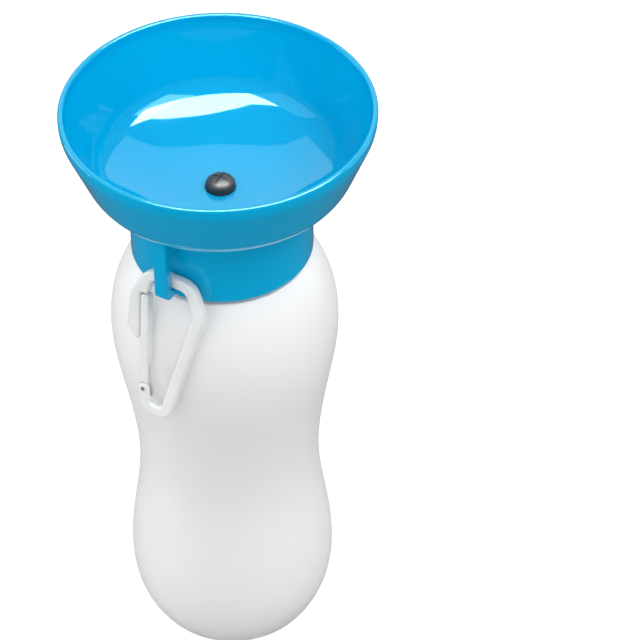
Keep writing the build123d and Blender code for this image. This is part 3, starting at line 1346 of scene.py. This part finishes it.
@dataclass
class Carabiner:
    """Carabiner with its gate, drawn in its own plane with the bar at the origin."""

    thickness: float = 4.0
    limb_width: float = 4.2
    length: float = 57.8
    edge: float = 1.0
    top_ends: Point = (-9.0, 9.5)
    foot_ends: Point = (-6.4, 5.1)
    side_left: Point = (-14.6, -9.5)
    side_right: Point = (15.6, -9.8)
    nose_tip: Point = (-14.6, -22.4)
    nose_start: float = 8.2
    nose_end: float = 29.0
    nose_step: float = 2.8
    top_rounding: float = 8.0
    foot_rounding: float = 5.0
    root_rounding: float = 2.15
    inner_rounding: float = 1.8
    nose_rounding: float = 1.1
    nose_tip_rounding: float = 3.6
    turn: float = 9.0
    hang_angle: float = 13.0
    bar_radius: float = 35.55
    bar_height: float = 189.2866
    gate_width: float = 3.2
    gate_top_drop: float = 8.6
    gate_lean: float = 4.0
    gate_clearance: float = 0.3
    gate_edge: float = 0.7
    gate_tip_rounding: float = 1.2
    saddle_steps: int = 10
    pivot_left: float = 5.9
    pivot_drop: float = 46.4
    root_radius: float = 2.3
    root_thickness: float = 1.8
    root_clearance: float = 0.1
    neck_width: float = 2.2
    neck_length: float = 6.0
    tongue_edge: float = 0.12
    tongue_steps: int = 40
    pin_radius: float = 0.8
    pin_slack_in_frame: float = 0.02
    pin_slack_in_gate: float = 0.05
    hole_depth: float = 8.0
    hole_steps: int = 48
    groove_depth: float = 0.45
    groove_width: float = 1.5
    groove_reach: float = 7.0
    groove_overlap: float = 0.4
    spring_keep: float = 0.8

    @property
    def plane(self) -> Matrix:
        """Place of the carabiner's own plane.

        Returns:
            The matrix that lays the plane in the part, in millimetres.
        """
        lean = math.radians(self.hang_angle)
        sine, cosine = math.sin(lean), math.cos(lean)
        return Matrix(
            (
                (1, 0, 0, 0),
                (0, sine, -cosine, -self.bar_radius),
                (0, cosine, sine, self.bar_height),
                (0, 0, 0, 1),
            )
        )

    @property
    def gate_place(self) -> Matrix:
        """Place of the gate's pivot and lean."""
        turn = Matrix.Rotation(math.radians(self.gate_lean), 4, "Z")
        return self.plane @ Matrix.Translation((-self.pivot_left, -self.pivot_drop, 0)) @ turn

    @property
    def groove_foot(self) -> float:
        """Height of the groove's foot above the gate's pivot."""
        return self.root_radius - self.groove_overlap

    def nose_line(self, drop: float) -> Point:
        """Point of the nose's inner face.

        Args:
            drop: Drop of the point below the bar.

        Returns:
            The point.
        """
        lean = math.radians(self.gate_lean)
        standoff = (self.gate_width / 2 + self.gate_clearance) / math.cos(lean)
        return (-self.pivot_left - (self.pivot_drop - drop) * math.tan(lean) - standoff, -drop)

    def frame_outline(self) -> list[Point]:
        """Closed outline of the frame.

        Returns:
            The points of the outline, in the carabiner's own plane.
        """
        top, width = self.limb_width / 2, self.limb_width
        foot = top - self.length
        left, right = self.side_left, self.side_right
        top_left, top_right = [(end, top) for end in self.top_ends]
        foot_left, foot_right = [(end, foot) for end in self.foot_ends]
        root_top = self.root_radius - self.pivot_drop
        root_left = (-self.pivot_left - self.root_radius, root_top)
        root_right = (-self.pivot_left + self.root_radius, root_top)
        nose = self.nose_line(self.nose_start)
        under_foot = inset_corner(foot_right, foot_left, root_left, width)
        inner_foot = inset_corner(right, foot_right, foot_left, width)
        inner_right = inset_corner(top_right, right, foot_right, width)
        inner_top_right = inset_corner(top_left, top_right, right, width)
        inner_top_left = inset_corner(left, top_left, top_right, width)
        return rounded(
            [
                (*top_left, self.top_rounding),
                (*top_right, self.top_rounding),
                (*right, self.top_rounding),
                (*foot_right, self.foot_rounding),
                (*foot_left, self.foot_rounding),
                (*root_left, self.root_rounding),
                (*root_right, self.root_rounding),
                (*under_foot, self.inner_rounding),
                (*inner_foot, self.inner_rounding),
                (*inner_right, self.top_rounding - width),
                (*inner_top_right, self.top_rounding - width),
                (*inner_top_left, self.inner_rounding),
                (nose[0] + self.nose_step, nose[1], self.nose_rounding),
                (*nose, self.nose_rounding),
                (*self.nose_line(self.nose_end), self.nose_rounding),
                (*self.nose_tip, self.nose_tip_rounding),
                (*left, self.top_rounding),
            ],
            turn=self.turn,
        )

    def block(
        self, centre: Point, width: float, height: float, depth: float, place: Matrix
    ) -> bpy.types.Object:
        """Plain block that cuts a slot or a groove.

        Args:
            centre: Middle of the block.
            width: Size across.
            height: Size along.
            depth: Size through the plate.
            place: Place of the plane that the block is drawn in.

        Returns:
            The block as an object.
        """
        half, tall = width / 2, height / 2
        across, up = centre
        outline = [
            (across - half, up - tall),
            (across + half, up - tall),
            (across + half, up + tall),
            (across - half, up + tall),
        ]
        return plate("block", outline, depth, 0.0, place)

    def pin_hole(self, slack: float) -> bpy.types.Object:
        """Rod in the shape of the pin's hole, wider than the pin by the slack."""
        circle = arc((0.0, 0.0), self.pin_radius + slack, 0.0, 2 * math.pi, self.hole_steps)
        return plate("hole", circle[:-1], self.hole_depth, 0.0, self.gate_place)

    def make_frame(self) -> bpy.types.Object:
        """Makes the frame with the slot for the gate's root and the pin's hole.

        Returns:
            The frame as an object.
        """
        outline = self.frame_outline()
        body = plate("carabiner_loop", outline, self.thickness, self.edge, self.plane)
        slot_width = self.root_thickness + 2 * self.root_clearance
        bore = self.root_radius + self.root_clearance
        size = 4 * self.root_radius
        middle = (-self.pivot_left, -self.pivot_drop + size / 2 - bore)
        slot = self.block(middle, size, size, slot_width, self.plane)
        return combined(body, [slot, self.pin_hole(self.pin_slack_in_frame)])

    def make_gate(self) -> bpy.types.Object:
        """Makes the gate with its tongue, its pin hole and its spring groove.

        Returns:
            The gate as an object.
        """
        length = (self.pivot_drop - self.gate_top_drop) / math.cos(math.radians(self.gate_lean))
        half, foot = self.gate_width / 2, self.root_radius + self.gate_clearance
        reach = math.asin(half / foot)
        saddle = arc((0.0, 0.0), foot, math.pi / 2 - reach, 2 * reach, self.saddle_steps)
        outline = rounded(
            [
                *sharp(saddle),
                (-half, length, self.gate_tip_rounding),
                (half, length, self.gate_tip_rounding),
            ]
        )
        bar = plate("gate_bar", outline, self.thickness, self.gate_edge, self.gate_place)
        combined(bar, [self.make_tongue()], "UNION")
        middle = (half, self.groove_foot + self.groove_reach / 2)
        groove = self.block(
            middle, 2 * self.groove_depth, self.groove_reach, self.groove_width, self.gate_place
        )
        return combined(bar, [groove, self.pin_hole(self.pin_slack_in_gate)])

    def make_tongue(self) -> bpy.types.Object:
        """Makes the gate's round root with the neck that joins it to the bar.

        Returns:
            The tongue as an object.
        """
        neck, radius = self.neck_width / 2, self.root_radius - self.root_clearance
        opening = math.asin(neck / radius)
        sweep = 2 * math.pi - 2 * opening
        outline = arc((0.0, 0.0), radius, math.pi / 2 + opening, sweep, self.tongue_steps)
        outline += [(neck, self.neck_length), (-neck, self.neck_length)]
        return plate("tongue", outline, self.root_thickness, self.tongue_edge, self.gate_place)

    def make_spring(self, finish: bpy.types.Material) -> bpy.types.Object:
        """Makes the leaf spring, which rides on the gate.

        Args:
            finish: Material of the spring.

        Returns:
            The spring as an object.
        """
        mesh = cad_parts["gate_spring"].data.copy()
        finish_mesh(mesh)
        leaf = add_object("spring_leaf", mesh)
        stand_for(leaf, finish, Body.GATE, Slot.STEEL, "gate_spring")
        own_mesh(leaf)
        return leaf

    def build(
        self, clip_finish: bpy.types.Material, steel_finish: bpy.types.Material
    ) -> list[bpy.types.Object]:
        """Makes the carabiner.

        Args:
            clip_finish: Material of the frame and the gate.
            steel_finish: Material of the pin and the spring.

        Returns:
            The pieces made or dressed.
        """
        loop, gate = self.make_frame(), self.make_gate()
        return [
            stand_for(loop, clip_finish, Body.CARABINER, Slot.CLIP, "carabiner_frame"),
            stand_for(gate, clip_finish, Body.GATE, Slot.CLIP, "carabiner_gate"),
            dress_node("gate_pin", steel_finish),
            self.make_spring(steel_finish),
        ]


# ---- Studio ----------------------------------------------------------------------------
@dataclass
class Softbox:
    """Oblong soft lamp, in metres to the right of, behind and above the part."""

    name: str
    place: Place
    target: Place
    width: float
    height: float
    power: float
    turn: float = 0.0
    lights: bool = True
    mirrored: bool = True

    def build(self, azimuth: float) -> bpy.types.Object:
        """Makes the lamp.

        Args:
            azimuth: Direction that the camera looks from, in degrees.

        Returns:
            The lamp's object.
        """
        lamp = bpy.data.lights.new(self.name, "AREA")
        lamp.shape = "RECTANGLE"
        lamp.size, lamp.size_y = self.width, self.height
        lamp.energy = self.power
        holder = bpy.data.objects.new(self.name, lamp)
        holder.visible_diffuse, holder.visible_glossy = self.lights, self.mirrored
        aim = Vector(self.target) - Vector(self.place)
        facing = aim.to_track_quat("-Z", "Y").to_matrix().to_4x4()
        facing = facing @ Matrix.Rotation(math.radians(self.turn), 4, "Z")
        round_axis = Matrix.Rotation(math.radians(azimuth), 4, "Z")
        holder.matrix_world = round_axis @ Matrix.Translation(self.place) @ facing
        bpy.context.scene.collection.objects.link(holder)
        return holder


@dataclass
class Studio:
    """Pale floor, soft lamps and the camera, in metres and degrees."""

    azimuth: float = 29.0
    pitch: float = 42.408
    roll: float = -0.343
    focal_pixels: float = 3000.0
    picture_pixels: float = 640.0
    sensor_width: float = 36.0
    clip_range: tuple[float, float] = (0.05, 20.0)
    rim_centre: Place = (0.0, 0.0, 0.240)
    rim_radius: float = 0.055
    offset: Place = (-0.6360, -1.3192, 18.6652)
    bowl_middle: Place = (0.0, 0.0, 0.22)
    body_middle: Place = (0.0, 0.0, 0.12)
    floor_size: float = 6.0
    floor_tone: float = 0.54
    floor_mirrored_tone: float = 0.08
    floor_glow: float = 0.72
    floor_roughness: float = 0.9
    floor_specular: float = 0.1
    world_strength: float = 0.31

    def camera(self) -> None:
        """Places the camera, whose offset from the rim is counted in radii of the rim."""
        sine, cosine = math.sin(math.radians(self.pitch)), math.cos(math.radians(self.pitch))
        look = Matrix(((1, 0, 0), (0, -sine, -cosine), (0, cosine, -sine)))
        roll = Matrix.Rotation(math.radians(self.roll), 3, "Z")
        round_axis = Matrix.Rotation(math.radians(self.azimuth), 3, "Z")
        view = roll @ look @ round_axis.transposed()
        offset = view.transposed() @ Vector(self.offset) * self.rim_radius
        place = Vector(self.rim_centre) - offset
        right, down, ahead = view
        lens = bpy.data.cameras.new("camera")
        lens.sensor_width = self.sensor_width
        lens.lens = self.focal_pixels / self.picture_pixels * self.sensor_width
        lens.clip_start, lens.clip_end = self.clip_range
        camera = bpy.data.objects.new("camera", lens)
        pose = Matrix((right, -down, -ahead)).transposed().to_4x4()
        pose.translation = place
        camera.matrix_world = pose
        bpy.context.scene.collection.objects.link(camera)
        bpy.context.scene.camera = camera

    def floor(self) -> None:
        """Makes the pale floor, which glows for the camera and is dark in mirror images."""
        half = self.floor_size / 2
        mesh = bpy.data.meshes.new("floor")
        mesh.from_pydata(
            [(-half, -half, 0), (half, -half, 0), (half, half, 0), (-half, half, 0)],
            [],
            [(0, 1, 2, 3)],
        )
        floor = add_object("floor", mesh)
        material = bpy.data.materials.new("pale_floor")
        material.use_nodes = True
        nodes, link = material.node_tree.nodes, material.node_tree.links.new
        shader = nodes["Principled BSDF"]
        tone = nodes.new("ShaderNodeMix")
        tone.data_type = "RGBA"
        tone.inputs["A"].default_value = (*[self.floor_tone] * 3, 1)
        tone.inputs["B"].default_value = (*[self.floor_mirrored_tone] * 3, 1)
        link(nodes.new("ShaderNodeLightPath").outputs["Is Glossy Ray"], tone.inputs["Factor"])
        link(tone.outputs["Result"], shader.inputs["Base Color"])
        shader.inputs["Roughness"].default_value = self.floor_roughness
        shader.inputs["Specular IOR Level"].default_value = self.floor_specular
        glow = nodes.new("ShaderNodeEmission")
        glow.inputs["Strength"].default_value = self.floor_glow
        both = nodes.new("ShaderNodeAddShader")
        link(shader.outputs[0], both.inputs[0])
        link(glow.outputs[0], both.inputs[1])
        pick = nodes.new("ShaderNodeMixShader")
        link(nodes.new("ShaderNodeLightPath").outputs["Is Camera Ray"], pick.inputs["Fac"])
        link(shader.outputs[0], pick.inputs[1])
        link(both.outputs[0], pick.inputs[2])
        link(pick.outputs[0], nodes["Material Output"].inputs["Surface"])
        mesh.materials.append(material)

    def world(self) -> None:
        """Makes an even pale world, which the camera sees as white."""
        world = bpy.data.worlds.new("studio")
        world.use_nodes = True
        nodes, link = world.node_tree.nodes, world.node_tree.links.new
        sky = nodes["Background"]
        sky.inputs["Color"].default_value = (1.0, 1.0, 1.0, 1.0)
        strength = nodes.new("ShaderNodeMath")
        strength.operation = "MULTIPLY_ADD"
        link(nodes.new("ShaderNodeLightPath").outputs["Is Camera Ray"], strength.inputs[0])
        strength.inputs[1].default_value = 1.0 - self.world_strength
        strength.inputs[2].default_value = self.world_strength
        link(strength.outputs[0], sky.inputs["Strength"])
        bpy.context.scene.world = world

    def lamps(self) -> None:
        """Makes the soft lamps."""
        bowl, body = self.bowl_middle, self.body_middle
        over, under = (0.20, -0.05, 1.24), (0.20, -0.05, 0.0)
        for box in (
            Softbox("top_softbox", over, under, 1.38, 0.53, 80.0, turn=17.5, lights=False),
            Softbox("left_softbox", (-1.2, -0.3, 1.5), bowl, 1.2, 1.0, 4.5),
            Softbox("right_softbox", (1.1, -0.4, 1.9), bowl, 1.2, 1.0, 24.0),
            Softbox("front_softbox", (-0.4, -1.5, 1.35), bowl, 2.4, 1.8, 24.5, mirrored=False),
            Softbox("back_softbox", (0.0, 1.7, 1.6), bowl, 2.6, 1.6, 18.0),
            Softbox("left_edge_softbox", (-1.3, 0.27, 0.12), body, 0.7, 1.0, 11.0),
            Softbox("right_edge_softbox", (1.3, 0.35, 0.15), body, 0.7, 1.0, 5.5),
        ):
            box.build(self.azimuth)

    def build(self) -> None:
        """Makes the studio."""
        self.camera()
        self.floor()
        self.world()
        self.lamps()
        bpy.context.scene.view_settings.view_transform = "Standard"


def main() -> None:
    """Builds the studio and every sub-assembly, and reports each piece."""
    logging.basicConfig(level=logging.INFO, format="%(name)s: %(message)s")
    Studio().build()
    form, thread = TurnedForm(), ScrewThread()
    valve = SoftRubber("black_valve_silicone", (0.012, 0.012, 0.013), (0.02, 0.02, 0.021))
    seal = SoftRubber("milky_seal_silicone", (0.74, 0.74, 0.72), (0.68, 0.68, 0.66))
    holder = PlainMouldedPlastic("white_holder_plastic")
    tube = PlainMouldedPlastic("clear_tube_plastic")
    inner_finishes = [finish.material() for finish in (valve, seal, holder, tube)]
    pieces = [
        *SqueezeBottle().build(form, thread, FrostedBottlePlastic().material()),
        *DrinkingBowl().build(form, thread, GlossyBowlPlastic().material()),
        *WaterWay().build(form, *inner_finishes),
        *Carabiner().build(MilkyClipPlastic().material(), DrawnSteel().material()),
    ]
    for piece in pieces:
        log.info("%s: %d faces", piece.name, len(piece.data.polygons))


if __name__ == "__main__":
    main()
